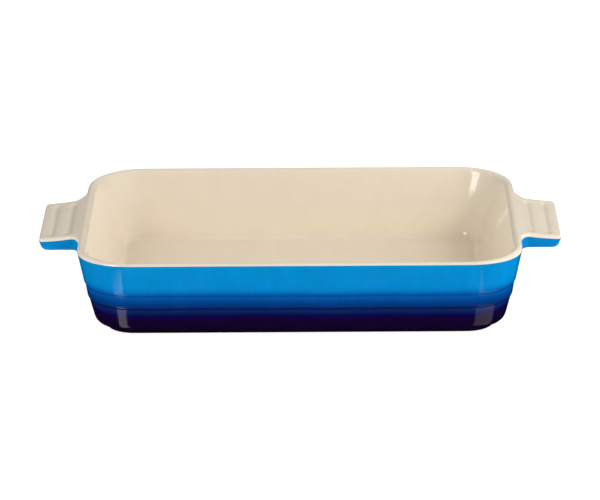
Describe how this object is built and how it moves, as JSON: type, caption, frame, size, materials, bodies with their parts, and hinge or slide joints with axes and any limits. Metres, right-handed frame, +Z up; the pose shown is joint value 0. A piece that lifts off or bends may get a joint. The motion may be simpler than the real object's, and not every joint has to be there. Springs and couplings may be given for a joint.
{
  "type": "baking dish",
  "caption": "Rectangular glazed stoneware baking dish with a grooved tab handle at each end, a stepped outer wall and a bare clay foot ring.",
  "frame": {"origin": "middle of the base, on the surface that the foot ring stands on", "axes": "+Z up, out of the dish; +X along its length, through both handles"},
  "size_m": [0.379, 0.2108, 0.06],
  "materials": {
    "fired_clay": "bare fired stoneware, matt and slightly gritty",
    "light_glaze": "glossy warm cream glaze",
    "blue_glaze": "glossy glaze that deepens from azure at the rim to near-black indigo at the foot",
    "dark_glaze": "glossy near-black indigo glaze"
  },
  "bodies": {
    "root": {"stoneware_body": "fired_clay", "light_inner_glaze": "light_glaze", "blue_outer_glaze": "blue_glaze", "underside_glaze": "dark_glaze"}
  },
  "joints": []
}
